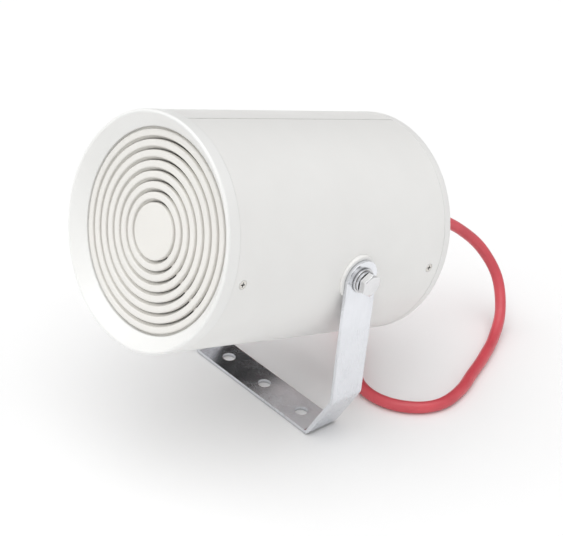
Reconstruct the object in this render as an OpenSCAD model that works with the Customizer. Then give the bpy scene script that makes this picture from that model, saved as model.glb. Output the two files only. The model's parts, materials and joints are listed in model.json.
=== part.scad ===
// Cylindrical alarm sounder held in a U-bracket: a full-range loudspeaker and its line
// transformer in a round housing, with a grille of rings in front and a cable gland behind.
//
// Millimetres. The bracket's foot lies on z = 0, centred on its middle hole. X runs along the
// tilt pivot, the grille faces -Y and the cable leaves towards +Y. The housing is shown
// tilted up by rest_pitch, and its parts are placed by their depth behind the front rim.

/* [Housing] */
// Outside diameter of the tube
housing_d = 144; // [110:1:200]
// Length from the front rim to the rear face
housing_len = 198; // [150:1:260]
// Wall of the rolled tube
tube_wall = 2; // [1:0.5:3]
// Width of the bezel's outer band
bezel_band = 9; // [6:0.5:15]
// Width of the rear cover's outer band
cover_band = 8; // [6:0.5:15]
// Depth of the side screws from either end
screw_inset = 16.5; // [12:0.5:20]
// Width of the seam along the top of the tube
seam_w = 1; // [0.5:0.1:2]
// Depth of the seam
seam_t = 0.3; // [0.2:0.1:1]

/* [Grille] */
// Depth of the grille's face behind the rim
grille_depth = 7; // [4:0.5:12]
// Radius of the innermost slot
first_slot_r = 18.3; // [12:0.1:24]
// Distance from one slot to the next
slot_pitch = 6.2; // [4:0.1:9]
// Width of a slot
slot_w = 2; // [1:0.1:3]
// Number of ring slots
slot_count = 7; // [3:1:8]
// Direction of the first of the four ribs, up from the +X side
rib_angle = 60; // [0:1:90]

/* [Bracket] */
// Height of the pivot over the mounting surface
pivot_h = 124.9; // [115:0.1:150]
// Width of the steel strip
strip_w = 25; // [20:1:30]
// Thickness of the steel strip
strip_t = 2.5; // [2:0.1:4]
// Centreline of each arm from the middle
arm_x = 75.05; // [74:0.05:90]
// Where the slanted part meets the foot, from the middle
knee_x = 56; // [40:1:65]
// Height at which the arm begins to slant inwards
knee_h = 37; // [25:1:50]
// Inside radius of the bends
bend_r = 3; // [2:0.5:8]
// Radius of the three mounting holes
mount_r = 4.5; // [3:0.1:6]
// Distance between the mounting holes
mount_gap = 37.5; // [30:0.5:45]

/* [Tilt] */
// How far the grille points up in the pose shown
rest_pitch = 15; // [-30:1:60]
// Depth of the pivot behind the front rim
pivot_depth = 113.9; // [90:0.1:130]
// Distance of the pivot below the housing's axis
pivot_drop = 1.6; // [0:0.1:5]
// Radius of the pivot bolts
bolt_r = 4; // [3:0.5:5]
// Radial clearance between the bolts and the bracket
bolt_gap = 0.08; // [0.01:0.01:0.1]
// Side gap between the clamped stack and each bracket arm
side_gap = 0.05; // [0.02:0.01:0.2]

/* [Cable] */
// Diameter of the two-core cable
cable_d = 8; // [6:0.5:10]
// Radius of the spare coil, to the middle of the cable
coil_r = 40; // [35:1:48]
// Centre of the spare coil on the mounting surface
coil_at = [-120, 86];
// Number of turns in the spare coil
coil_turns = 2; // [1:1:4]

/* [Hidden] */
$fn = 72;
eps = 0.01;

// housing
housing_r = housing_d / 2;
tube_in = housing_r - tube_wall;
band_r = housing_r + 0.2;
skirt_r = tube_in - 0.1;
skirt_in = skirt_r - 2.5;
skirt_len = 17;
rim_round = 1.3;
cover_wall = 3;
cover_round = 4;
tube_front = bezel_band;
tube_back = housing_len - cover_band;

// grille, cloth and gasket, by depth
ring_t = 3;
lip_depth = grille_depth + ring_t;
lip_r = 62.2;
grille_r = 60.6;
grille_t = 6;
grille_back = grille_depth + grille_t;
cloth_t = 0.6;
gasket_t = 3;
driver_depth = grille_back + cloth_t + gasket_t;

// loudspeaker, with z counted from the front of its flange
flange_r = 66.8;
flange_in = 60.2;
basket_z = 25.8;
gap_z = 27;
magnet_z = 32;
yoke_z = 46.5;
driver_end = 51.5;
pole_r = 12.2;
coil_in = 12.7;
coil_out = 13.1;
driver_screw_r = 64.3;
driver_screw_angles = [45:90:315];
driver_screw_len = 9;

// side screws
screw_r = 1.5;
screw_head_r = 2.8;
screw_sides = [0, 180];

// pivot stack, by distance from the middle
arm_in = arm_x - strip_t / 2;
arm_out = arm_x + strip_t / 2;
washer_t = 1.6;
washer_r = 8;
spring_t = 2;
spring_r = 7;
hex_turn = 12;
head_x = arm_out + side_gap + washer_t + spring_t;
head_h = 5.3;
head_flats = 13;
collar_r = 5.6;
collar_h = 0.8;
spacer_r = 14.5;
plate_in = 64;
nut_t = 6.5;

// chassis and transformer, by depth
chassis_depth = 168;
chassis_t = 1.5;
chassis_r = 60;
boss_ring = 52;
boss_angles = [90, 210, 330];
core_w = 48;
core_len = 40;
core_stack = 24;
core_y = 4;
limb_w = 16;
window_w = 8;
core_front = chassis_depth - core_len;
clamp_t = 1.2;
foot_x = 31;
block_y = -43;
block_h = 18;

// cable gland, by depth
gland_hole_r = 8.1;
gland_flats = 20;
gland_flange = housing_len + 1;
gland_nut_start = gland_flange + 6;
gland_end = housing_len + 26.6;

// cable
cable_r = cable_d / 2;
coil_start = 60;
coil_gap = 40;
exit_reach = gland_end + 0.1 - pivot_depth;
exit_dir = [0, cos(rest_pitch), -sin(rest_pitch)];
housing_up = [0, sin(rest_pitch), cos(rest_pitch)];
cable_exit = [0, 0, pivot_h] + exit_reach * exit_dir + pivot_drop * housing_up;
coil_entry = [
  coil_at[0] + coil_r * cos(coil_start),
  coil_at[1] + coil_r * sin(coil_start),
  cable_r
];

// The cable leaves straight, droops to the surface, swings round and runs back to the coil.
cable_route = [
  cable_exit,
  cable_exit + 24 * exit_dir,
  [0.5, 155, 81.5],
  [4, 176, 68],
  [11.5, 193, 51],
  [24.5, 200, 31],
  [40, 190.5, 13.5],
  [53.5, 170.5, 5.5],
  [65, 148, 4.2],
  [75, 125, 4],
  [83, 106, 4],
  [87, 87, 4],
  [84.5, 72.5, 4],
  [77, 61, 4],
  [66, 53, 4],
  [53, 49.5, 4],
  [40, 51.5, 4],
  [27, 59, 4],
  [13, 69.5, 4],
  [-2, 81.5, 4],
  [-18, 92.5, 4],
  [-36, 100.5, 4],
  [-58, 106, 4],
  [-81, 112, 4],
  coil_entry
];

// ---- colours

white_metal = [0.90, 0.90, 0.89];
white_plastic = [0.92, 0.91, 0.88];
grille_white = [0.90, 0.88, 0.84];
zinc = [0.74, 0.76, 0.79];
steel = [0.55, 0.56, 0.58];
black_steel = [0.12, 0.12, 0.13];
ferrite = [0.20, 0.20, 0.21];
paper_black = [0.08, 0.08, 0.08];
copper = [0.72, 0.42, 0.22];
brass = [0.80, 0.66, 0.36];
ceramic = [0.93, 0.92, 0.87];
cable_red = [0.78, 0.11, 0.15];
rubber_black = [0.07, 0.07, 0.07];

// ---- placing

// Puts children in the tilted housing: local Z runs back from depth d, local Y points down.
module axial(d = 0) {
  translate([0, 0, pivot_h])
    rotate([-rest_pitch, 0, 0])
      translate([0, d - pivot_depth, pivot_drop])
        rotate([-90, 0, 0])
          children();
}

// Puts children on the pivot of one side, with local Z pointing outwards from distance x.
module at_pivot(side, x = 0) {
  translate([0, 0, pivot_h])
    rotate([-rest_pitch, 0, 0])
      rotate([0, side * 90, 0])
        translate([0, 0, x])
          children();
}

module both_pivots(x = 0) {
  for (side = [-1, 1])
    at_pivot(side, x)
      children();
}

// Puts children along a radius of the housing at depth d, with local Z pointing outwards.
module radial(d, angle) {
  axial(d)
    rotate([0, 0, angle])
      rotate([0, 90, 0])
        children();
}

module ring(r_in, r_out, z0, z1) {
  translate([0, 0, z0])
    difference() {
      cylinder(r = r_out, h = z1 - z0);
      translate([0, 0, -eps])
        cylinder(r = r_in, h = z1 - z0 + 2 * eps);
    }
}

module hex(flats, h) {
  cylinder(r = flats / sqrt(3), h = h, $fn = 6);
}

module block(low, high) {
  translate(low)
    cube(high - low);
}

module on_circle(r, angles) {
  for (a = angles)
    rotate([0, 0, a])
      translate([r, 0, 0])
        children();
}

// A cross recess cut down from z = 0.
module cross_recess(reach, depth) {
  for (a = [0, 90])
    rotate([0, 0, a])
      translate([-reach, -reach / 4.5, -depth])
        cube([2 * reach, reach / 2.25, depth + 1]);
}

// A pan-head screw whose head stands on z = 0 and whose shank goes down.
module pan_screw(r, head_r, head_h, len) {
  difference() {
    union() {
      translate([0, 0, -len])
        cylinder(r = r, h = len + eps);
      cylinder(r = head_r, h = head_h * 0.6);
      translate([0, 0, head_h * 0.6 - eps])
        cylinder(r1 = head_r, r2 = head_r * 0.7, h = head_h * 0.4);
    }
    translate([0, 0, head_h])
      cross_recess(head_r * 0.55, head_h * 0.6);
  }
}

// A wire of straight runs with round elbows, each a little fuller than the wire.
module wire(r, points) {
  for (i = [0:len(points) - 2]) {
    run = points[i + 1] - points[i];
    turn = acos(run[2] / norm(run));
    translate(points[i])
      rotate([0, turn, atan2(run[1], run[0])])
        cylinder(r = r, h = norm(run), $fn = 24);
  }
  for (i = [1:len(points) - 2])
    translate(points[i])
      sphere(r = 1.04 * r, $fn = 24);
}

// ---- bracket

knee_low = [knee_x, strip_t / 2];
knee_high = [arm_x, knee_h];
slant = knee_high - knee_low;
slant_angle = atan2(slant[1], slant[0]);
bend_mid = bend_r + strip_t / 2;
bend_steps = 10;
low_trim = bend_mid * tan(slant_angle / 2);
high_trim = bend_mid * tan((90 - slant_angle) / 2);

low_centre = [knee_x - low_trim, strip_t / 2 + bend_mid];
high_centre = [arm_x - bend_mid, knee_h + high_trim];

function arc(centre, r, from, to) =
  [for (i = [0:bend_steps]) let (a = from + (to - from) * i / bend_steps) centre + r * [cos(a), sin(a)]];

function backwards(list) = [for (i = [len(list) - 1:-1:0]) list[i]];

function mirrored(list) = [for (p = list) [-p[0], p[1]]];

// One face of the strip from the first bend up to the pivot, at radius r in both bends.
function strip_face(r) = concat(
  arc(low_centre, r, -90, slant_angle - 90),
  arc(high_centre, r, slant_angle - 90, 0),
  [[high_centre[0] + r, pivot_h]]
);

module u_bracket() {
  outer = strip_face(bend_r + strip_t);
  inner = strip_face(bend_r);
  color(zinc)
    difference() {
      union() {
        rotate([90, 0, 0])
          linear_extrude(strip_w, center = true)
            polygon(concat(outer, backwards(inner), mirrored(inner), backwards(mirrored(outer))));
        for (x = [-arm_out, arm_in])
          translate([x, 0, pivot_h])
            rotate([0, 90, 0])
              cylinder(r = strip_w / 2, h = strip_t);
      }
      for (x = [-mount_gap, 0, mount_gap])
        translate([x, 0, -1])
          cylinder(r = mount_r, h = strip_t + 2);
      for (x = [-arm_x, arm_x])
        translate([x - strip_t, 0, pivot_h])
          rotate([0, 90, 0])
            cylinder(r = bolt_r + bolt_gap, h = 2 * strip_t);
    }
}

// ---- pivot stack

module pivot_spacers() {
  color(white_plastic)
    difference() {
      both_pivots(housing_r - 4)
        difference() {
          cylinder(r = spacer_r, h = arm_in - side_gap - housing_r + 4);
          translate([0, 0, -1])
            cylinder(r = bolt_r + bolt_gap, h = 10);
        }
      axial(0)
        cylinder(r = housing_r, h = housing_len, $fn = 360);
    }
}

module flat_washers() {
  color(zinc)
    both_pivots()
      ring(bolt_r + 0.2, washer_r, arm_out + side_gap, arm_out + side_gap + washer_t);
}

module spring_washers() {
  washer_x = head_x - spring_t;
  color(zinc)
    both_pivots()
      difference() {
        ring(bolt_r + 0.1, spring_r, washer_x, washer_x + spring_t);
        translate([0, 0, washer_x - 1])
          rotate([20, 0, 30])
            translate([0, -0.5, -2])
              cube([10, 1, 8]);
      }
}

module pivot_bolts() {
  color(zinc)
    both_pivots()
      union() {
        translate([0, 0, plate_in - nut_t - 3])
          cylinder(r = bolt_r, h = head_x - plate_in + nut_t + 3 + eps);
        translate([0, 0, head_x])
          cylinder(r = collar_r, h = collar_h + eps);
        translate([0, 0, head_x + collar_h])
          intersection() {
            rotate([0, 0, hex_turn])
              hex(head_flats, head_h - collar_h);
            union() {
              cylinder(r = head_flats * 0.6, h = head_h - collar_h - 1);
              translate([0, 0, head_h - collar_h - 1 - eps])
                cylinder(r1 = head_flats * 0.6, r2 = head_flats * 0.46, h = 1 + eps);
            }
          }
      }
}

module backing_plates() {
  color(steel)
    intersection() {
      both_pivots(plate_in)
        ring(bolt_r + bolt_gap, 14, 0, housing_r - plate_in);
      axial(0)
        cylinder(r = tube_in, h = housing_len);
    }
}

module pivot_nuts() {
  color(zinc)
    both_pivots(plate_in - nut_t)
      difference() {
        hex(head_flats, nut_t);
        translate([0, 0, -1])
          cylinder(r = bolt_r + 0.02, h = nut_t + 2);
      }
}

// ---- housing shells

module side_screw_holes(d) {
  for (a = screw_sides)
    radial(d, a) {
      translate([0, 0, skirt_in - 2])
        cylinder(r = screw_r + 0.05, h = 12);
      translate([0, 0, tube_in])
        cylinder(r1 = screw_r + 0.05, r2 = screw_head_r + 0.3, h = tube_wall + 0.1);
    }
}

module side_screws(d) {
  for (a = screw_sides)
    radial(d, a)
      difference() {
        union() {
          translate([0, 0, skirt_in + 0.2])
            cylinder(r = screw_r, h = tube_in - skirt_in - 0.2 + eps);
          translate([0, 0, tube_in])
            cylinder(r1 = screw_r, r2 = screw_head_r, h = tube_wall - 0.1);
        }
        translate([0, 0, housing_r - 0.1])
          cross_recess(1.6, 1);
      }
}

module housing_tube() {
  color(white_metal)
    difference() {
      axial(0)
        ring(tube_in, housing_r, tube_front, tube_back);
      axial(0)
        block(
          [-seam_w / 2, -housing_r - 1, tube_front - 1],
          [seam_w / 2, -housing_r + seam_t, tube_back + 1]
        );
      both_pivots(plate_in)
        cylinder(r = bolt_r + bolt_gap, h = 20);
      side_screw_holes(screw_inset);
      side_screw_holes(housing_len - screw_inset);
    }
}

module front_bezel() {
  nose = [band_r - rim_round, rim_round];
  color(white_plastic)
    difference() {
      axial(0)
        rotate_extrude() {
          translate(nose)
            circle(r = rim_round, $fn = 32);
          polygon([
            [nose[0] - 0.86, 0.32],
            [band_r, rim_round],
            [band_r, tube_front],
            [skirt_r, tube_front],
            [skirt_r, tube_front + skirt_len],
            [skirt_in, tube_front + skirt_len],
            [skirt_in, lip_depth],
            [lip_r, lip_depth],
            [lip_r, grille_depth + 0.3]
          ]);
        }
      side_screw_holes(screw_inset);
      axial(lip_depth - 2)
        on_circle(driver_screw_r, driver_screw_angles)
          cylinder(r = 1.75, h = 10);
    }
}

module rear_cover() {
  color(white_plastic)
    difference() {
      axial(0) {
        rotate_extrude() {
          translate([band_r - cover_round, housing_len - cover_round])
            circle(r = cover_round, $fn = 48);
          polygon([
            [0, housing_len - cover_wall],
            [skirt_in, housing_len - cover_wall],
            [skirt_in, tube_back - skirt_len],
            [skirt_r, tube_back - skirt_len],
            [skirt_r, tube_back],
            [band_r, tube_back],
            [band_r, housing_len - cover_round],
            [band_r - cover_round, housing_len],
            [0, housing_len]
          ]);
        }
        on_circle(boss_ring, boss_angles)
          translate([0, 0, chassis_depth + chassis_t])
            cylinder(r = 4, h = housing_len - cover_wall - chassis_depth - chassis_t + eps);
      }
      axial(chassis_depth)
        on_circle(boss_ring, boss_angles)
          cylinder(r = screw_r, h = 15);
      axial(housing_len - 10)
        cylinder(r = gland_hole_r, h = 20);
      side_screw_holes(housing_len - screw_inset);
    }
}

module front_screws() {
  color(zinc)
    side_screws(screw_inset);
}

module rear_screws() {
  color(zinc)
    side_screws(housing_len - screw_inset);
}

// ---- grille

// One flat-topped ring with eased front edges, turned about the axis.
module land(r_in, r_out) {
  rotate_extrude()
    polygon([
      [r_in, 0.8],
      [r_in + 0.25, 0.25],
      [r_in + 0.8, 0],
      [r_out - 0.8, 0],
      [r_out - 0.25, 0.25],
      [r_out, 0.8],
      [r_out, ring_t],
      [r_in, ring_t]
    ]);
}

// A sloping ring behind the slot at radius r, hung from the land outside it. Sound passes
// behind the land inside it, and nothing looks or pokes straight through.
module louvre(r) {
  low = r - slot_w / 2 - 0.6;
  high = r + slot_w / 2;
  rotate_extrude()
    polygon([[high + 0.4, 1.1], [low, grille_t - 0.8], [low + 0.9, grille_t], [high + 1.6, 2.9]]);
}

module grille() {
  hub_r = first_slot_r - slot_w / 2;
  last_r = first_slot_r + (slot_count - 1) * slot_pitch + slot_w / 2;
  color(grille_white)
    axial(grille_depth)
      difference() {
        union() {
          rotate_extrude()
            polygon([
              [0, 0],
              [hub_r - 0.8, 0],
              [hub_r - 0.25, 0.25],
              [hub_r, 0.8],
              [hub_r, ring_t],
              [0, ring_t]
            ]);
          for (k = [0:slot_count - 2])
            land(
              first_slot_r + k * slot_pitch + slot_w / 2,
              first_slot_r + (k + 1) * slot_pitch - slot_w / 2
            );
          land(last_r, grille_r);
          for (k = [0:slot_count - 1])
            louvre(first_slot_r + k * slot_pitch);
          ring(last_r, skirt_in - 0.2, ring_t, grille_t);
          for (a = [0:90:270])
            rotate([0, 0, a - rib_angle])
              block([hub_r - 2, -1.5, ring_t - 0.2], [last_r + 1, 1.5, grille_t]);
        }
        on_circle(driver_screw_r, driver_screw_angles)
          cylinder(r = 1.75, h = 10);
      }
}

module grille_cloth() {
  color(paper_black)
    axial(grille_back)
      difference() {
        cylinder(r = skirt_in - 0.4, h = cloth_t);
        on_circle(driver_screw_r, driver_screw_angles)
          translate([0, 0, -1])
            cylinder(r = 2, h = 5);
      }
}

// ---- loudspeaker

module driver() {
  axial(driver_depth)
    children();
}

module driver_gasket() {
  color(rubber_black)
    axial(grille_back + cloth_t)
      difference() {
        ring(flange_in, flange_r, 0, gasket_t);
        on_circle(driver_screw_r, driver_screw_angles)
          translate([0, 0, -1])
            cylinder(r = 2, h = 5);
      }
}

module driver_basket() {
  color(black_steel)
    driver()
      difference() {
        rotate_extrude()
          polygon([
            [flange_in, 0],
            [flange_r, 0],
            [flange_r, 1.2],
            [flange_in + 1.2, 1.2],
            [flange_in + 1.2, 3.2],
            [58.4, 3.2],
            [35.2, basket_z - 0.8],
            [35.2, gap_z],
            [16, gap_z],
            [16, basket_z],
            [34, basket_z],
            [34, basket_z - 1.4],
            [56.6, 2.9],
            [56.6, 2],
            [flange_in, 2]
          ]);
        for (a = [0:60:300])
          rotate([0, 0, a + 30])
            block([30, -9, 5], [62, 9, 22]);
        on_circle(driver_screw_r, driver_screw_angles)
          translate([0, 0, -1])
            cylinder(r = 2, h = 5);
      }
}

module driver_surround() {
  roll_r = 53.3;
  lip_z = 1.4;
  lip_t = 0.6;
  color(rubber_black)
    driver()
      union() {
        ring(roll_r + 2.8, flange_in - 0.2, lip_z, lip_z + lip_t);
        ring(47.6, roll_r - 2.8, lip_z, lip_z + lip_t);
        rotate_extrude()
          translate([roll_r, lip_z + lip_t])
            difference() {
              circle(r = 3.4, $fn = 48);
              circle(r = 2.8, $fn = 48);
              translate([-5, 0])
                square([10, 5]);
            }
      }
}

module driver_cone() {
  color(paper_black)
    driver()
      rotate_extrude()
        polygon([[47.2, 1.4], [47.2, 2.3], [coil_out, 22], [coil_out, 21.1]]);
}

module driver_dust_cap() {
  cap_r = 22;
  base_z = 18.7;
  centre_z = base_z + 14;
  color(paper_black)
    driver()
      intersection() {
        difference() {
          translate([0, 0, centre_z])
            sphere(r = cap_r);
          translate([0, 0, centre_z])
            sphere(r = cap_r - 0.5);
        }
        cylinder(r = 20, h = 2 * base_z, center = true);
      }
}

module driver_voice_coil() {
  color(copper)
    driver()
      union() {
        ring(coil_in, coil_out, 20, 34);
        ring(coil_out - eps, coil_out + 0.6, 27, 33);
      }
}

module driver_spider() {
  inner_r = coil_out + 0.4;
  outer_r = 27.5;
  waves = 3;
  steps = 18;
  function wave(i) = [
    inner_r + (outer_r - inner_r) * i / steps,
    basket_z - 1.3 - 0.6 * sin(360 * waves * i / steps)
  ];
  color(brass)
    driver()
      union() {
        rotate_extrude()
          polygon([
            for (i = [0:steps]) wave(i),
            for (i = [steps:-1:0]) wave(i) + [0, 0.5]
          ]);
        ring(outer_r - 0.2, 31.5, basket_z - 1.3, basket_z);
      }
}

module driver_top_plate() {
  color(zinc)
    driver()
      ring(14.4, 29, gap_z, magnet_z);
}

module driver_magnet() {
  color(ferrite)
    driver()
      ring(17, 36, magnet_z, yoke_z);
}

module driver_yoke() {
  color(zinc)
    driver()
      difference() {
        union() {
          translate([0, 0, yoke_z])
            cylinder(r = 30, h = driver_end - yoke_z - 1);
          translate([0, 0, driver_end - 1 - eps])
            cylinder(r1 = 30, r2 = 29, h = 1 + eps);
          translate([0, 0, gap_z])
            cylinder(r = pole_r, h = yoke_z - gap_z + eps);
        }
        translate([0, 0, gap_z - 1])
          cylinder(r = 3, h = driver_end - gap_z + 2);
      }
}

module driver_screws() {
  color(zinc)
    driver()
      on_circle(driver_screw_r, driver_screw_angles)
        translate([0, 0, 1.2])
          pan_screw(1.7, 2.5, 2.2, driver_screw_len);
}

module driver_tag_board() {
  color([0.45, 0.30, 0.16])
    driver()
      block([-9, -64.5, 1.2], [9, -63, 13]);
}

module driver_lugs() {
  color(brass)
    driver()
      for (x = [-5, 5])
        block([x - 1.4, -63, 8], [x + 1.4, -58, 8.8]);
}

// ---- chassis and electrics

module chassis_plate() {
  color(zinc)
    axial(chassis_depth)
      difference() {
        cylinder(r = chassis_r, h = chassis_t);
        translate([0, 0, -1])
          cylinder(r = 7, h = 5);
        on_circle(boss_ring, boss_angles)
          translate([0, 0, -1])
            cylinder(r = screw_r + 0.1, h = 5);
        for (x = [-foot_x, foot_x])
          translate([x, core_y + core_stack / 2, -1])
            cylinder(r = 1.8, h = 5);
      }
}

module chassis_screws() {
  color(zinc)
    axial(chassis_depth)
      on_circle(boss_ring, boss_angles)
        rotate([180, 0, 0])
          pan_screw(screw_r - 0.02, 2.8, 2, 10);
}

module transformer_core() {
  color(steel)
    axial(core_front)
      difference() {
        block([-core_w / 2, core_y, 0], [core_w / 2, core_y + core_stack, core_len]);
        for (x = [-1, 1])
          translate([x * (limb_w + window_w) / 2, 0, 0])
            block(
              [-window_w / 2, core_y - 1, window_w],
              [window_w / 2, core_y + core_stack + 1, core_len - window_w]
            );
      }
}

module transformer_winding() {
  reach = limb_w / 2 + window_w - 0.3;
  color(copper)
    axial(core_front)
      difference() {
        block(
          [-reach, core_y - 7, window_w + 0.3],
          [reach, core_y + core_stack + 7, core_len - window_w - 0.3]
        );
        block(
          [-limb_w / 2 - 0.1, core_y - 0.1, 0],
          [limb_w / 2 + 0.1, core_y + core_stack + 0.1, core_len]
        );
      }
}

module transformer_clamp() {
  mid_y = core_y + core_stack / 2;
  outer = core_w / 2 + clamp_t;
  color(zinc)
    axial(core_front)
      difference() {
        union() {
          block([-outer, mid_y - 8, -clamp_t], [outer, mid_y + 8, core_len]);
          block(
            [-foot_x - 6, mid_y - 8, core_len - clamp_t],
            [foot_x + 6, mid_y + 8, core_len]
          );
        }
        block([-core_w / 2, mid_y - 9, 0], [core_w / 2, mid_y + 9, core_len + 1]);
        for (x = [-foot_x, foot_x])
          translate([x, mid_y, core_len - 5])
            cylinder(r = 1.8, h = 10);
      }
}

module transformer_screws() {
  color(zinc)
    axial(chassis_depth - clamp_t)
      for (x = [-foot_x, foot_x])
        translate([x, core_y + core_stack / 2, 0])
          rotate([180, 0, 0])
            pan_screw(1.75, 3.4, 2.2, 6);
}

module terminal_block() {
  color(ceramic)
    axial(chassis_depth)
      difference() {
        block([-17, block_y, -block_h], [17, block_y + 16, 0]);
        for (x = [-11, 0, 11]) {
          translate([x, block_y - 1, -9])
            rotate([-90, 0, 0])
              cylinder(r = 2, h = 18);
          translate([x, block_y + 8, -block_h - 1])
            cylinder(r = 2.4, h = 6);
        }
        for (x = [-5.5, 5.5])
          block([x - 1, block_y - 1, -block_h - 1], [x + 1, block_y + 17, -block_h + 3]);
      }
}

module terminal_screws() {
  color(brass)
    axial(chassis_depth - block_h + 5)
      for (x = [-11, 0, 11])
        translate([x, block_y + 8, 0])
          difference() {
            translate([0, 0, -4])
              cylinder(r = 2.2, h = 4);
            block([-3, -0.4, -5], [3, 0.4, -3]);
          }
}

module capacitor() {
  color([0.16, 0.22, 0.34])
    axial(chassis_depth)
      translate([42, -14, -22])
        union() {
          cylinder(r = 8, h = 21);
          translate([0, 0, 20])
            cylinder(r = 6, h = 2);
        }
}

module thermal_fuse() {
  color(ceramic)
    axial(chassis_depth - 5)
      translate([-44, 8, 0])
        union() {
          rotate([90, 0, 0])
            cylinder(r = 4, h = 14);
          translate([-3, -11, 0])
            cube([6, 8, 5]);
        }
}

module speaker_wires() {
  color(cable_red)
    axial(0)
      for (x = [-5, 5])
        wire(0.9, [
          [x, -59.5, driver_depth + 9.8],
          [x, -59.5, 120],
          [x, -20, 138],
          [x, core_y - 7, 146]
        ]);
}

// ---- cable gland

module gland_washer() {
  color(rubber_black)
    axial(0)
      ring(gland_hole_r, 11, housing_len, gland_flange);
}

module gland_body() {
  color(white_plastic)
    axial(0)
      difference() {
        union() {
          translate([0, 0, housing_len - 9])
            cylinder(r = 7.9, h = 10 + eps);
          translate([0, 0, gland_flange])
            hex(gland_flats, gland_nut_start - gland_flange - 0.3);
          translate([0, 0, gland_nut_start - 0.3 - eps])
            cylinder(r = 7.9, h = 8);
        }
        translate([0, 0, housing_len - 10])
          cylinder(r = cable_r + 0.1, h = 30);
        translate([0, 0, gland_nut_start - 3])
          cylinder(r = 6.3, h = 20);
      }
}

module gland_locknut() {
  color(white_plastic)
    axial(housing_len - cover_wall - 4)
      difference() {
        hex(22, 4);
        translate([0, 0, -1])
          cylinder(r = 7.95, h = 6);
      }
}

module gland_seal() {
  color(rubber_black)
    axial(0)
      ring(cable_r, 6.2, gland_nut_start - 3, gland_nut_start + 11);
}

module gland_nut() {
  color(white_plastic)
    axial(0)
      difference() {
        union() {
          translate([0, 0, gland_nut_start])
            hex(gland_flats, 9);
          translate([0, 0, gland_nut_start + 9 - eps])
            cylinder(r1 = 9.6, r2 = 9, h = 3 + eps);
          translate([0, 0, gland_nut_start + 12 - eps])
            cylinder(r1 = 9, r2 = 5.3, h = gland_end - gland_nut_start - 12 + eps);
        }
        translate([0, 0, gland_nut_start - 1])
          cylinder(r = 8, h = 12.1);
        translate([0, 0, gland_nut_start])
          cylinder(r = cable_r + 0.05, h = 30);
      }
}

// ---- cable

module clamped_cable() {
  color(cable_red)
    axial(housing_len - 20)
      cylinder(r = cable_r, h = gland_end - housing_len + 20);
}

module cable_cores() {
  color(ceramic)
    axial(0)
      for (x = [-1, 1])
        wire(1.1, [
          [x * 1.8, 0, housing_len - 20],
          [x * 1.8, 0, 172],
          [x * 4, -4, 164],
          [x * 11, block_y + 22, chassis_depth - 9],
          [x * 11, block_y + 8, chassis_depth - 9]
        ]);
}

// A smooth curve through the route: each span is a Catmull-Rom cubic.
function span(a, b, c, d, t) =
  0.5 * (2 * b + (c - a) * t + (2 * a - 5 * b + 4 * c - d) * t * t
    + (3 * b - a - 3 * c + d) * t * t * t);

function route_point(path, i, t) =
  let (
    last = len(path) - 1,
    before = i == 0 ? 2 * path[0] - path[1] : path[i - 1],
    after = i + 2 > last ? 2 * path[last] - path[last - 1] : path[i + 2]
  )
  span(before, path[i], path[i + 1], after, t);

// Turns the points of a path into rings of a round tube.
function tube_ring(at, heading, r, sides) =
  let (
    across = cross(heading, [0, 0, 1]) / norm(cross(heading, [0, 0, 1])),
    over = cross(across, heading) / norm(heading)
  )
  [for (k = [0:sides - 1]) at + r * (cos(360 * k / sides) * across + sin(360 * k / sides) * over)];

module tube_along(path, r, sides, per_span) {
  centres = concat(
    [for (i = [0:len(path) - 2], s = [0:per_span - 1]) route_point(path, i, s / per_span)],
    [path[len(path) - 1]]
  );
  last = len(centres) - 1;
  rings = [
    for (i = [0:last])
      tube_ring(centres[i], centres[min(i + 1, last)] - centres[max(i - 1, 0)], r, sides)
  ];
  points = [for (row = rings) for (p = row) p];
  walls = [
    for (i = [0:last - 1], k = [0:sides - 1])
      let (a = i * sides + k, b = i * sides + (k + 1) % sides)
        for (face = [[a, b, a + sides], [b, b + sides, a + sides]]) face
  ];
  near_end = [for (k = [sides - 1:-1:0]) k];
  far_end = [for (k = [0:sides - 1]) last * sides + k];
  polyhedron(points, concat([near_end], walls, [far_end]));
}

module cable() {
  color(cable_red)
    tube_along(cable_route, cable_r, 12, 3);
}

module cable_coil() {
  coil_h = cable_d * (coil_turns + 1);
  color(cable_red)
    translate([coil_at[0], coil_at[1], 0])
      rotate_extrude(angle = 360 - coil_gap, start = coil_start)
        translate([coil_r - cable_r, 0])
          square([cable_d, coil_h]);
}

u_bracket();
pivot_spacers();
flat_washers();
spring_washers();
pivot_bolts();
backing_plates();
pivot_nuts();
housing_tube();
front_bezel();
rear_cover();
front_screws();
rear_screws();
grille();
grille_cloth();
driver_gasket();
driver_basket();
driver_surround();
driver_cone();
driver_dust_cap();
driver_voice_coil();
driver_spider();
driver_top_plate();
driver_magnet();
driver_yoke();
driver_screws();
driver_tag_board();
driver_lugs();
chassis_plate();
chassis_screws();
transformer_core();
transformer_winding();
transformer_clamp();
transformer_screws();
terminal_block();
terminal_screws();
capacitor();
thermal_fuse();
speaker_wires();
gland_washer();
gland_body();
gland_locknut();
gland_seal();
gland_nut();
clamped_cable();
cable_cores();
cable();
cable_coil();
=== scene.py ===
"""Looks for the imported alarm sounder: camera, cable, materials, floor and lights.

Metres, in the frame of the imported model: the bracket's foot lies on z = 0 round its middle
hole, X runs along the tilt pivot, the grille faces -Y and the cable leaves towards +Y.
"""

import json
import math

import bmesh
import bpy
from mathutils import Matrix, Vector


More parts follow.
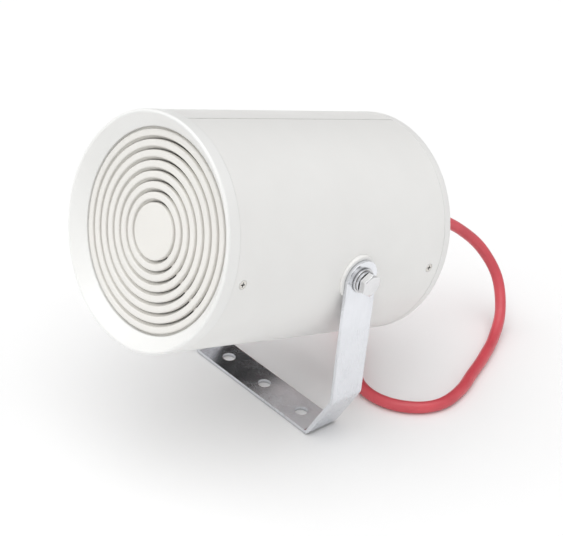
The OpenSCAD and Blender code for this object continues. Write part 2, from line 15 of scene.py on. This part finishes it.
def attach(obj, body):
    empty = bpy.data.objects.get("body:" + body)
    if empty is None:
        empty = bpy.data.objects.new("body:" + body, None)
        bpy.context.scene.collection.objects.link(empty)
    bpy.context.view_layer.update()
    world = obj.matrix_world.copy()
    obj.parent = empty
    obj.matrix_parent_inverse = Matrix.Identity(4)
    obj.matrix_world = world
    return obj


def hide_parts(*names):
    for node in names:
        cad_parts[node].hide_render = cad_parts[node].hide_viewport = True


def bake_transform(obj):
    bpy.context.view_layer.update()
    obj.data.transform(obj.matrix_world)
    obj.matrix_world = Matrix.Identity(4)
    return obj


MM = 0.001

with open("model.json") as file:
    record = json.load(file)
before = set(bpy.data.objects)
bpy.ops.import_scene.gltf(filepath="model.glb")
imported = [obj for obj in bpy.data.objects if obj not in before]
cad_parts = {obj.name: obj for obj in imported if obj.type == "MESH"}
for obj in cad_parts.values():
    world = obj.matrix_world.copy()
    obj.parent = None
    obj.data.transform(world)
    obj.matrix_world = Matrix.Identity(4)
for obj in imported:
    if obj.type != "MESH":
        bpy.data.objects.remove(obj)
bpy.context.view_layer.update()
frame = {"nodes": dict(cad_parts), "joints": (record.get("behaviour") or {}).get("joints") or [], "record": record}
record = frame["record"]


def joint(name):
    return next(j for j in frame["joints"] if j["name"] == name)


pivot = Vector(joint("housing_tilt")["pos_m"])
# The cone slides along the housing's axis, towards the rear cover.
axis_back = Vector(joint("cone_travel")["axis"])


# ---- camera

# Azimuth 0 looks along +Y, and the place is measured from the tilt pivot.
CAMERA_AZIMUTH = math.radians(45.81)
CAMERA_ELEVATION = math.radians(31.33)
CAMERA_ROLL = math.radians(-5.74)
CAMERA_FROM_PIVOT = Vector((0.65433, -0.63093, 0.52275))
CAMERA_LENS = 105.48


def make_camera():
    camera = bpy.data.objects.new("camera", bpy.data.cameras.new("camera"))
    camera.data.lens = CAMERA_LENS
    camera.data.clip_start = 0.01
    camera.data.clip_end = 20
    back = Vector((
        math.sin(CAMERA_AZIMUTH) * math.cos(CAMERA_ELEVATION),
        -math.cos(CAMERA_AZIMUTH) * math.cos(CAMERA_ELEVATION),
        math.sin(CAMERA_ELEVATION),
    ))
    level_up = (Vector((0, 0, 1)) - back * back.z).normalized()
    level_right = level_up.cross(back)
    up = level_up * math.cos(CAMERA_ROLL) + level_right * math.sin(CAMERA_ROLL)
    right = up.cross(back)
    turn = Matrix((right, up, back)).transposed()
    camera.matrix_world = Matrix.Translation(pivot + CAMERA_FROM_PIVOT) @ turn.to_4x4()
    bpy.context.scene.collection.objects.link(camera)
    bpy.context.scene.camera = camera


# ---- material tools

def add(tree, kind, inputs=None, **settings):
    """Adds a node. Each input takes a number, a colour, or another node's socket."""
    made = tree.nodes.new("ShaderNode" + kind)
    for name, value in settings.items():
        setattr(made, name, value)
    for name, value in (inputs or {}).items():
        if isinstance(value, bpy.types.NodeSocket):
            tree.links.new(value, made.inputs[name])
        else:
            made.inputs[name].default_value = value
    return made


def rgb(red, green, blue):
    """A colour with its alpha, from linear values."""
    return (red, green, blue, 1)


def place(tree, stretch=(1, 1, 1)):
    """Coordinates in metres that stay with the body, squeezed by stretch."""
    where = add(tree, "TexCoord").outputs["Object"]
    return add(tree, "Mapping", {"Vector": where, "Scale": stretch}).outputs["Vector"]


def noise(tree, vector, scale, detail, rough=0.5):
    settings = {"Vector": vector, "Scale": scale, "Detail": detail, "Roughness": rough}
    return add(tree, "TexNoise", settings).outputs["Fac"]


def ramp(tree, value, start, end, low, high):
    """value from start to end becomes low to high, and no further."""
    limits = {"Value": value, "From Min": start, "From Max": end, "To Min": low, "To Max": high}
    return add(tree, "MapRange", limits).outputs["Result"]


def sums(tree, operation, a, b):
    return add(tree, "Math", {0: a, 1: b}, operation=operation).outputs[0]


def blend(tree, share, a, b):
    """Colour a, with share of colour b over it."""
    return add(tree, "Mix", {0: share, 6: a, 7: b}, data_type="RGBA").outputs[2]


def edges(tree, width):
    """(mask of the outer edges, normal rounded over width), both from the bevel shader."""
    rounded = add(tree, "Bevel", {"Radius": width}, samples=6).outputs["Normal"]
    plain = add(tree, "NewGeometry").outputs["Normal"]
    dot = add(tree, "VectorMath", {0: rounded, 1: plain}, operation="DOT_PRODUCT")
    return ramp(tree, dot.outputs["Value"], 0.999, 0.94, 0, 1), rounded


def bump(tree, height, strength, depth, normal=None):
    inputs = {"Height": height, "Strength": strength, "Distance": depth}
    if normal is not None:
        inputs["Normal"] = normal
    return add(tree, "Bump", inputs).outputs["Normal"]


def new_material(name, **constants):
    """A material with its shader's plain values set, as (material, its tree, its shader)."""
    material = bpy.data.materials.new(name)
    material.use_nodes = True
    shader = material.node_tree.nodes["Principled BSDF"]
    for socket, value in constants.items():
        shader.inputs[socket.replace("_", " ")].default_value = value
    return material, material.node_tree, shader


def wire_up(tree, shader, **sockets):
    for socket, value in sockets.items():
        tree.links.new(value, shader.inputs[socket.replace("_", " ")])


# ---- materials

def painted(name, colour, shade, rough):
    """Powder coat or moulded plastic: fine orange peel, faint clouding and handled edges."""
    material, tree, shader = new_material(name, Specular_IOR_Level=0.42)
    at = place(tree)
    cloud = noise(tree, at, scale=22, detail=4)
    speck = noise(tree, at, scale=900, detail=2)
    mask, rounded = edges(tree, 0.5 * MM)
    rubbed = ramp(tree, noise(tree, at, scale=160, detail=4), 0.45, 0.7, 0, 0.5)
    worn = sums(tree, "MULTIPLY", mask, rubbed)
    base = blend(tree, ramp(tree, cloud, 0.3, 0.7, 0, 1), rgb(*colour), rgb(*shade))
    fine = blend(tree, ramp(tree, speck, 0.35, 0.65, 0, 0.12), base, rgb(*shade))
    dusty = blend(tree, worn, fine, rgb(*[0.82 * c for c in shade]))
    coarse = noise(tree, at, scale=700, detail=2)
    peel = sums(tree, "ADD", coarse, noise(tree, at, scale=2600, detail=1))
    haze = sums(tree, "ADD", cloud, speck)
    wire_up(
        tree,
        shader,
        Base_Color=dusty,
        Roughness=ramp(tree, haze, 0.7, 1.3, rough - 0.06, rough + 0.08),
        Normal=bump(tree, peel, 0.14, 0.08 * MM, rounded),
    )
    return material


def painted_gap_shade(tree, reach, start, end):
    """Mask of the gaps and corners that get painted shade, within reach metres."""
    shut = add(tree, "AmbientOcclusion", {"Distance": reach}, samples=8).outputs["AO"]
    return ramp(tree, shut, start, end, 1, 0)


def zinc(name, colour, dull, rough, stretch=(1, 1, 1)):
    """Bright zinc plate: fine lines along the sheet, dulled patches, and painted shade in the gaps."""
    material, tree, shader = new_material(name, Metallic=1.0)
    at = place(tree)
    along = place(tree, stretch)
    lines = noise(tree, along, scale=1500, detail=3, rough=0.6)
    patch = noise(tree, at, scale=45, detail=5, rough=0.6)
    grain = noise(tree, at, scale=260, detail=3)
    mask, rounded = edges(tree, 0.35 * MM)
    base = blend(tree, ramp(tree, patch, 0.35, 0.7, 0, 1), rgb(*colour), rgb(*dull))
    streaked = blend(tree, ramp(tree, lines, 0.4, 0.7, 0, 0.3), base, rgb(*dull))
    bright = blend(tree, sums(tree, "MULTIPLY", mask, 0.6), streaked, rgb(0.92, 0.93, 0.95))
    # Painted shade: ambient occlusion darkens the gaps and corners between parts to near black.
    gap_shaded = blend(tree, painted_gap_shade(tree, 2.5 * MM, 0.3, 0.8), bright, rgb(0.09, 0.085, 0.08))
    haze = sums(tree, "ADD", sums(tree, "MULTIPLY", patch, 0.6), sums(tree, "MULTIPLY", lines, 0.4))
    relief = sums(tree, "ADD", lines, sums(tree, "MULTIPLY", grain, 0.5))
    wire_up(
        tree,
        shader,
        Base_Color=gap_shaded,
        Roughness=ramp(tree, haze, 0.35, 0.7, rough - 0.05, rough + 0.12),
        Normal=bump(tree, relief, 0.1, 0.03 * MM, rounded),
    )
    return material


def metal(name, colour, dull, rough):
    """Plain, pressed or turned metal with tool marks and stains."""
    material, tree, shader = new_material(name, Metallic=1.0)
    at = place(tree)
    stain = noise(tree, at, scale=90, detail=5, rough=0.6)
    marks = noise(tree, at, scale=1800, detail=2)
    mask, rounded = edges(tree, 0.3 * MM)
    base = blend(tree, ramp(tree, stain, 0.35, 0.7, 0, 1), rgb(*colour), rgb(*dull))
    polished = rgb(*[min(1, 1.3 * c) for c in colour])
    bright = blend(tree, sums(tree, "MULTIPLY", mask, 0.5), base, polished)
    wire_up(
        tree,
        shader,
        Base_Color=bright,
        Roughness=ramp(tree, stain, 0.3, 0.7, rough - 0.06, rough + 0.1),
        Normal=bump(tree, marks, 0.15, 0.05 * MM, rounded),
    )
    return material


def woven(name, colour, light, thread):
    """Cloth woven from round threads, thread metres apart."""
    material, tree, shader = new_material(
        name, Roughness=0.95, Sheen_Weight=0.25, Sheen_Roughness=0.5
    )
    at = place(tree)
    threads = {"Vector": at, "Scale": 1 / (2 * thread), "Distortion": 0.3}
    warp = add(tree, "TexWave", threads, bands_direction="X")
    weft = add(tree, "TexWave", threads, bands_direction="Z")
    weave = sums(tree, "MULTIPLY", warp.outputs["Fac"], weft.outputs["Fac"])
    fuzz = noise(tree, at, scale=1500, detail=4)
    tint = blend(tree, ramp(tree, weave, 0.1, 0.9, 0, 0.8), rgb(*colour), rgb(*light))
    dusty = blend(tree, ramp(tree, fuzz, 0.5, 0.8, 0, 0.3), tint, rgb(*light))
    wire_up(
        tree,
        shader,
        Base_Color=dusty,
        Normal=bump(tree, sums(tree, "ADD", weave, fuzz), 0.6, 0.3 * MM),
    )
    return material


def matt(name, colour, light, rough, scale=400, relief=0.3):
    """Rubber, paper, ferrite, ceramic or board: a grainy surface that barely shines."""
    material, tree, shader = new_material(name, Specular_IOR_Level=0.35)
    at = place(tree)
    cloud = noise(tree, at, scale=35, detail=4)
    grain = noise(tree, at, scale, detail=5, rough=0.65)
    mask, rounded = edges(tree, 0.3 * MM)
    base = blend(tree, ramp(tree, cloud, 0.35, 0.7, 0, 0.6), rgb(*colour), rgb(*light))
    fine = blend(tree, ramp(tree, grain, 0.45, 0.75, 0, 0.5), base, rgb(*light))
    rubbed = blend(tree, sums(tree, "MULTIPLY", mask, 0.4), fine, rgb(*light))
    wire_up(
        tree,
        shader,
        Base_Color=rubbed,
        Roughness=ramp(tree, grain, 0.3, 0.7, rough - 0.08, rough + 0.08),
        Normal=bump(tree, grain, relief, 0.12 * MM, rounded),
    )
    return material


def sheath(name, colour, dark, rough):
    """Soft extruded jacket: slight scuffs, a fine grain and faint drawn lines."""
    material, tree, shader = new_material(name, Specular_IOR_Level=0.5)
    at = place(tree)
    cloud = noise(tree, at, scale=60, detail=4)
    grain = noise(tree, at, scale=1400, detail=3)
    scuff = ramp(tree, noise(tree, at, scale=330, detail=6, rough=0.7), 0.58, 0.75, 0, 0.35)
    base = blend(tree, ramp(tree, cloud, 0.3, 0.7, 0, 1), rgb(*colour), rgb(*dark))
    scuffed = blend(tree, scuff, base, rgb(*[min(1, c * 1.25 + 0.03) for c in colour]))
    haze = sums(tree, "ADD", grain, scuff)
    wire_up(
        tree,
        shader,
        Base_Color=scuffed,
        Roughness=ramp(tree, haze, 0.4, 1.0, rough - 0.05, rough + 0.15),
        Normal=bump(tree, grain, 0.2, 0.05 * MM),
    )
    return material


def make_finishes():
    """The material of each slot in the record. A row is its maker and the maker's arguments."""
    looks = {
        "bracket_zinc": (zinc, (0.83, 0.845, 0.88), (0.75, 0.765, 0.80), 0.22, (1, 1, 0.02)),
        "hardware_zinc": (zinc, (0.82, 0.82, 0.83), (0.66, 0.66, 0.67), 0.13),
        "screw_zinc": (zinc, (0.72, 0.7, 0.66), (0.5, 0.48, 0.44), 0.25),
        "plain_steel": (metal, (0.50, 0.51, 0.53), (0.36, 0.36, 0.37), 0.35),
        "lamination_steel": (metal, (0.34, 0.33, 0.33), (0.22, 0.2, 0.18), 0.45),
        "housing_paint": (painted, (0.82, 0.815, 0.80), (0.79, 0.785, 0.77), 0.42),
        "bezel_plastic": (painted, (0.84, 0.84, 0.83), (0.81, 0.81, 0.795), 0.36),
        "cover_plastic": (painted, (0.80, 0.795, 0.785), (0.77, 0.765, 0.755), 0.4),
        "grille_plastic": (painted, (0.80, 0.785, 0.75), (0.77, 0.755, 0.72), 0.4),
        "spacer_plastic": (painted, (0.88, 0.875, 0.86), (0.85, 0.845, 0.83), 0.34),
        "gland_plastic": (painted, (0.80, 0.80, 0.78), (0.76, 0.76, 0.74), 0.38),
        "black_cloth": (woven, (0.004, 0.004, 0.004), (0.02, 0.02, 0.02), 0.5 * MM),
        "spider_cloth": (woven, (0.42, 0.28, 0.1), (0.6, 0.44, 0.2), 0.6 * MM),
        "black_rubber": (matt, (0.012, 0.012, 0.012), (0.04, 0.04, 0.04), 0.6),
        "black_steel": (painted, (0.02, 0.02, 0.022), (0.035, 0.035, 0.035), 0.4),
        "black_paper": (matt, (0.012, 0.012, 0.012), (0.035, 0.034, 0.032), 0.85, 700, 0.6),
        "ferrite": (matt, (0.03, 0.03, 0.032), (0.07, 0.07, 0.07), 0.55, 500),
        "copper_wire": (metal, (0.72, 0.32, 0.16), (0.5, 0.2, 0.1), 0.3),
        "brass_parts": (metal, (0.78, 0.58, 0.25), (0.6, 0.43, 0.18), 0.28),
        "brown_board": (matt, (0.2, 0.1, 0.045), (0.3, 0.17, 0.08), 0.55, 800),
        "ceramic": (matt, (0.82, 0.8, 0.73), (0.9, 0.88, 0.82), 0.4, 300, 0.15),
        "capacitor_sleeve": (sheath, (0.02, 0.05, 0.16), (0.015, 0.035, 0.12), 0.35),
        "core_sleeve": (sheath, (0.8, 0.78, 0.7), (0.72, 0.7, 0.62), 0.4),
        "red_sheath": (sheath, (0.66, 0.085, 0.105), (0.55, 0.065, 0.085), 0.34),
    }
    return {slot: make(slot, *rest) for slot, (make, *rest) in looks.items()}


def dress_nodes(finishes):
    """Gives each CAD node the material of its slot."""
    for part in record["subparts"]:
        slots = frame["nodes"][part["node"]].data.materials
        slots.clear()
        slots.append(finishes[part["material_slot"]])


# ---- cable

CABLE_R = 4 * MM
COIL_CENTRE = Vector((-120 * MM, 86 * MM, 0))
COIL_R = 40 * MM
COIL_START = math.radians(60)
COIL_TURNS = 2
# Share of a turn over which it climbs onto the one below
RAMP_SHARE = 0.16
# Rings of the mesh to each turn of the coil, and to each span of the route
TURN_STEPS = 96
SPAN_STEPS = 8

# The two cores show as two faint lobes, which go once round in LAY_LENGTH.
LOBES = 0.012
LAY_LENGTH = 70 * MM

# How far the cable runs straight out of the gland, and its points from there to the coil, in
# millimetres: down to the surface, round to the right, and back behind the bracket
STRAIGHT = 24 * MM
ROUTE = [
    (0.5, 155, 81.5),
    (4, 176, 68),
    (11.5, 193, 51),
    (24.5, 200, 31),
    (40, 190.5, 13.5),
    (53.5, 170.5, 5.5),
    (65, 148, 4.2),
    (75, 125, 4),
    (83, 106, 4),
    (87, 87, 4),
    (84.5, 72.5, 4),
    (77, 61, 4),
    (66, 53, 4),
    (53, 49.5, 4),
    (40, 51.5, 4),
    (27, 59, 4),
    (13, 69.5, 4),
    (-2, 81.5, 4),
    (-18, 92.5, 4),
    (-36, 100.5, 4),
    (-58, 106, 4),
    (-81, 112, 4),
]


def cable_exit():
    """The middle of the clamped cable's outer end, in the mouth of the gland nut."""
    points = [v.co for v in frame["nodes"]["clamped_cable"].data.vertices]
    reach = max(p.dot(axis_back) for p in points)
    rim = [p for p in points if p.dot(axis_back) > reach - 0.1 * MM]
    low = Vector([min(p[k] for p in rim) for k in range(3)])
    high = Vector([max(p[k] for p in rim) for k in range(3)])
    return (low + high) / 2


def coil_point(turns):
    """A point of the coil: each turn lies flat, then climbs onto the one below it."""
    angle = COIL_START + math.tau * turns
    climb = max(0, (turns % 1 - 1 + RAMP_SHARE) / RAMP_SHARE)
    layers = math.floor(turns) + climb * climb * (3 - 2 * climb)
    return COIL_CENTRE + Vector((
        COIL_R * math.cos(angle),
        COIL_R * math.sin(angle),
        CABLE_R + 2 * CABLE_R * layers,
    ))


def smooth_through(points, steps):
    """A Catmull-Rom curve through the points, with steps to each span."""
    ends = [2 * points[0] - points[1]] + points + [2 * points[-1] - points[-2]]
    line = []
    for a, b, c, d in zip(ends, ends[1:], ends[2:], ends[3:]):
        for i in range(steps):
            t = i / steps
            line.append(0.5 * (
                2 * b + (c - a) * t + (2 * a - 5 * b + 4 * c - d) * t ** 2
                + (3 * b - a - 3 * c + d) * t ** 3
            ))
    return line + [points[-1]]


# The flat middle of a tube's end starts this share of the way in from its rim.
END_INSET = 0.18


def to_object(mesh, name):
    """The bmesh as an object in the scene."""
    data = bpy.data.meshes.new(name)
    mesh.to_mesh(data)
    mesh.free()
    made = bpy.data.objects.new(name, data)
    bpy.context.scene.collection.objects.link(made)
    return made


def tube(name, line, radius, sides, lobes=0.0, round_end=0.0):
    """A tube along a line, with both ends closed. Its ends stand out by round_end radii."""
    mesh = bmesh.new()
    heading = (line[1] - line[0]).normalized()
    side = heading.orthogonal().normalized()
    rings = []
    travelled = 0
    for i, at in enumerate(line):
        ahead = (line[min(i + 1, len(line) - 1)] - line[max(i - 1, 0)]).normalized()
        side = (side - ahead * side.dot(ahead)).normalized()
        up = ahead.cross(side)
        if i:
            travelled += (at - line[i - 1]).length
        ring = []
        for k in range(sides):
            angle = math.tau * k / sides
            wave = 1 + lobes * math.cos(2 * (angle - math.tau * travelled / LAY_LENGTH))
            outwards = side * math.cos(angle) + up * math.sin(angle)
            ring.append(mesh.verts.new(at + radius * wave * outwards))
        rings.append(ring)
    for low, high in zip(rings, rings[1:]):
        for k in range(sides):
            after = (k + 1) % sides
            mesh.faces.new((low[k], low[after], high[after], high[k]))
    for ring, turned in ((rings[0], True), (rings[-1], False)):
        middle = sum((v.co for v in ring), Vector()) / sides
        inner = [mesh.verts.new(v.co.lerp(middle, END_INSET)) for v in ring]
        outwards = (line[0] - line[1]) if turned else (line[-1] - line[-2])
        for v in inner:
            v.co += outwards.normalized() * radius * round_end
        for k in range(sides):
            after = (k + 1) % sides
            quad = (ring[k], ring[after], inner[after], inner[k])
            mesh.faces.new(quad[::-1] if turned else quad)
        mesh.faces.new(inner[::-1] if turned else inner)
    bmesh.ops.recalc_face_normals(mesh, faces=mesh.faces)
    made = to_object(mesh, name)
    for face in made.data.polygons:
        face.use_smooth = True
    return made


def make_cable(finishes):
    """The cable outside the gland, from its mouth to the coil's last turn."""
    start = cable_exit()
    coil = [coil_point(i / TURN_STEPS) for i in range(COIL_TURNS * TURN_STEPS + 1)]
    run = [start, start + axis_back * STRAIGHT] + [Vector(p) * MM for p in ROUTE] + [coil[0]]
    line = smooth_through(run, SPAN_STEPS)[:-1] + coil
    jacket = tube("cable_jacket", line, CABLE_R, sides=20, lobes=LOBES, round_end=0.12)
    jacket.data.materials.append(finishes["red_sheath"])
    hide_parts("cable", "cable_coil")
    extras = make_tail(finishes) + [make_tie(finishes)]
    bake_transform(jacket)


# The cores' length, and how much of it is inside the jacket's end
STRIPPED = 26 * MM
CORE_HIDDEN = 2 * MM
CORE_R = 1.4 * MM
CORE_STEPS = 14
# Each core's distance from the jacket's middle line, and what its tip adds to that
CORE_ASIDE = 1.5 * MM
CORE_SPREAD = 1.6 * MM
# A core sinks to CORE_CLEAR above the turn below it, over 1 / CORE_SINKS_BY of its length.
CORE_SINKS_BY = 1.6
CORE_CLEAR = 0.3 * MM
# The bare copper at a core's end
TIP_R = 0.75 * MM
TIP_STEPS = 8
TIP_STEP = 1 * MM


def make_tail(finishes):
    """The two cores that come out of the jacket's end, each with its bare copper tip."""
    made = []
    drop = CABLE_R - CORE_R - CORE_CLEAR
    for side, where, finish in ((-1, "inner", "core_sleeve"), (1, "outer", "red_sheath")):
        line = []
        for i in range(CORE_STEPS + 1):
            share = i / CORE_STEPS
            at = coil_point(COIL_TURNS + (share * STRIPPED - CORE_HIDDEN) / (math.tau * COIL_R))
            angle = math.atan2(at.y - COIL_CENTRE.y, at.x - COIL_CENTRE.x)
            out = Vector((math.cos(angle), math.sin(angle), 0))
            sunk = min(1, share * CORE_SINKS_BY) ** 2
            at.z = 2 * CABLE_R * (COIL_TURNS + 0.5) - drop * sunk
            line.append(at + out * side * (CORE_ASIDE + CORE_SPREAD * share ** 2))
        core = tube(f"core_{where}", line, CORE_R, sides=12, round_end=0.1)
        core.data.materials.append(finishes[finish])
        heading = (line[-1] - line[-2]).normalized()
        tip_line = [line[-1] + heading * (i - 1) * TIP_STEP for i in range(TIP_STEPS + 1)]
        tip = tube(core.name + "_tip", tip_line, TIP_R, sides=10, lobes=0.1, round_end=0.3)
        tip.data.materials.append(finishes["copper_wire"])
        made += [core, tip]
    for piece in made:
        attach(piece, "bracket")
    return made


TIE_WIDTH = 9 * MM
TIE_THICK = 0.8 * MM
# Each row of the strap is (its place across the width, its share of the thickness).
TIE_ROWS = ((-0.5, 0.55), (-0.46, 1.0), (0.46, 1.0), (0.5, 0.55))
# The strap presses into the jacket by TIE_SINKS, and stays TIE_FLOOR_GAP above the surface.
TIE_SINKS = 0.25 * MM
TIE_FLOOR_GAP = 0.05 * MM
ARC_STEPS = 8


def tie_outline():
    """(across, height, outward normal) round both turns of the coil, seen along the cable."""
    outline = []
    for quarter, layer in enumerate((1, 1, -1, -1)):
        for i in range(ARC_STEPS + 1):
            a = math.radians(90 * (quarter + i / ARC_STEPS))
            normal = Vector((math.cos(a), math.sin(a)))
            outline.append((CABLE_R * normal.x, CABLE_R * (layer + normal.y), normal))
    return outline


def make_tie(finishes):
    """A hook-and-loop strap round both turns of the coil, opposite the side it starts on."""
    angle = COIL_START + math.pi
    out = Vector((math.cos(angle), math.sin(angle), 0))
    along = Vector((-out.y, out.x, 0))
    middle = COIL_CENTRE + out * COIL_R + Vector((0, 0, 2 * CABLE_R))
    outline = tie_outline()
    mesh = bmesh.new()
    rows = []
    for offset, share in TIE_ROWS:
        row = []
        for across, height, normal in outline:
            base = middle + out * across + Vector((0, 0, height)) + along * TIE_WIDTH * offset
            push = out * normal.x + Vector((0, 0, normal.y))
            outer = base + push * TIE_THICK * share
            outer.z = max(outer.z, TIE_FLOOR_GAP)
            inner = base - push * TIE_SINKS
            inner.z = max(inner.z, TIE_FLOOR_GAP + TIE_SINKS)
            row.append((mesh.verts.new(outer), mesh.verts.new(inner)))
        rows.append(row)
    count = len(outline)
    for low, high in zip(rows, rows[1:]):
        for k in range(count):
            after = (k + 1) % count
            mesh.faces.new((low[k][0], low[after][0], high[after][0], high[k][0]))
            mesh.faces.new((low[k][1], high[k][1], high[after][1], low[after][1]))
    for row, turned in ((rows[0], False), (rows[-1], True)):
        for k in range(count):
            after = (k + 1) % count
            quad = (row[k][0], row[k][1], row[after][1], row[after][0])
            mesh.faces.new(quad[::-1] if turned else quad)
    bmesh.ops.recalc_face_normals(mesh, faces=mesh.faces)
    tie = to_object(mesh, "coil_tie")
    tie.data.materials.append(finishes["black_cloth"])
    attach(tie, "bracket")
    return tie


# ---- floor and lights

FLOOR_HALF = 6
FLOOR_Z = -0.1 * MM


def make_floor():
    mesh = bmesh.new()
    corners = ((-1, -1), (1, -1), (1, 1), (-1, 1))
    mesh.faces.new([mesh.verts.new((x * FLOOR_HALF, y * FLOOR_HALF, FLOOR_Z)) for x, y in corners])
    floor = to_object(mesh, "floor")
    material, tree, shader = new_material("floor", Roughness=0.9, Specular_IOR_Level=0.1)
    tone = ramp(tree, noise(tree, place(tree), scale=3, detail=2), 0.3, 0.7, 0, 1)
    mottled = blend(tree, tone, rgb(0.93, 0.93, 0.93), rgb(0.91, 0.91, 0.91))
    wire_up(tree, shader, Base_Color=mottled)
    floor.data.materials.append(material)


# Each side is (the direction of its middle, the cosines of the angles from there to its edge and
# to its full depth, the share of the light at its edge and at its full depth).
DARK_SIDE = ((-0.61, 0.59, 0.52), (0.6, 0.88), (0.88, 0.02))
DIM_SIDE = ((0.66, 0.75, 0.05), (0.1, 0.9), (1, 0.72))
LAMP_FROM = Vector((-0.12, -0.15, 1))
LAMP_SPREAD = math.radians(80)
LAMP_STRENGTH = 1.55


def make_lights():
    """A white studio, dark at the far side and dimmer at the right, with a broad lamp overhead."""
    world = bpy.data.worlds.new("studio")
    world.use_nodes = True
    tree = world.node_tree
    direction = add(tree, "TexCoord").outputs["Generated"]

    def wall(middle, cosines, shares):
        facing = add(tree, "VectorMath", {0: direction, 1: middle}, operation="DOT_PRODUCT")
        return ramp(tree, facing.outputs["Value"], *cosines, *shares)

    strength = sums(tree, "MULTIPLY", wall(*DARK_SIDE), wall(*DIM_SIDE))
    tree.links.new(strength, tree.nodes["Background"].inputs["Strength"])
    tree.nodes["Background"].inputs["Color"].default_value = rgb(1, 1, 1)
    bpy.context.scene.world = world
    lamp = bpy.data.objects.new("lamp", bpy.data.lights.new("lamp", "SUN"))
    lamp.data.angle = LAMP_SPREAD
    lamp.data.energy = LAMP_STRENGTH
    lamp.rotation_euler = (-LAMP_FROM).to_track_quat("-Z", "Y").to_euler()
    bpy.context.scene.collection.objects.link(lamp)
    bpy.context.scene.view_settings.view_transform = "Standard"


# ---- the scene

make_camera()
finishes = make_finishes()
make_cable(finishes)
dress_nodes(finishes)
make_floor()
make_lights()
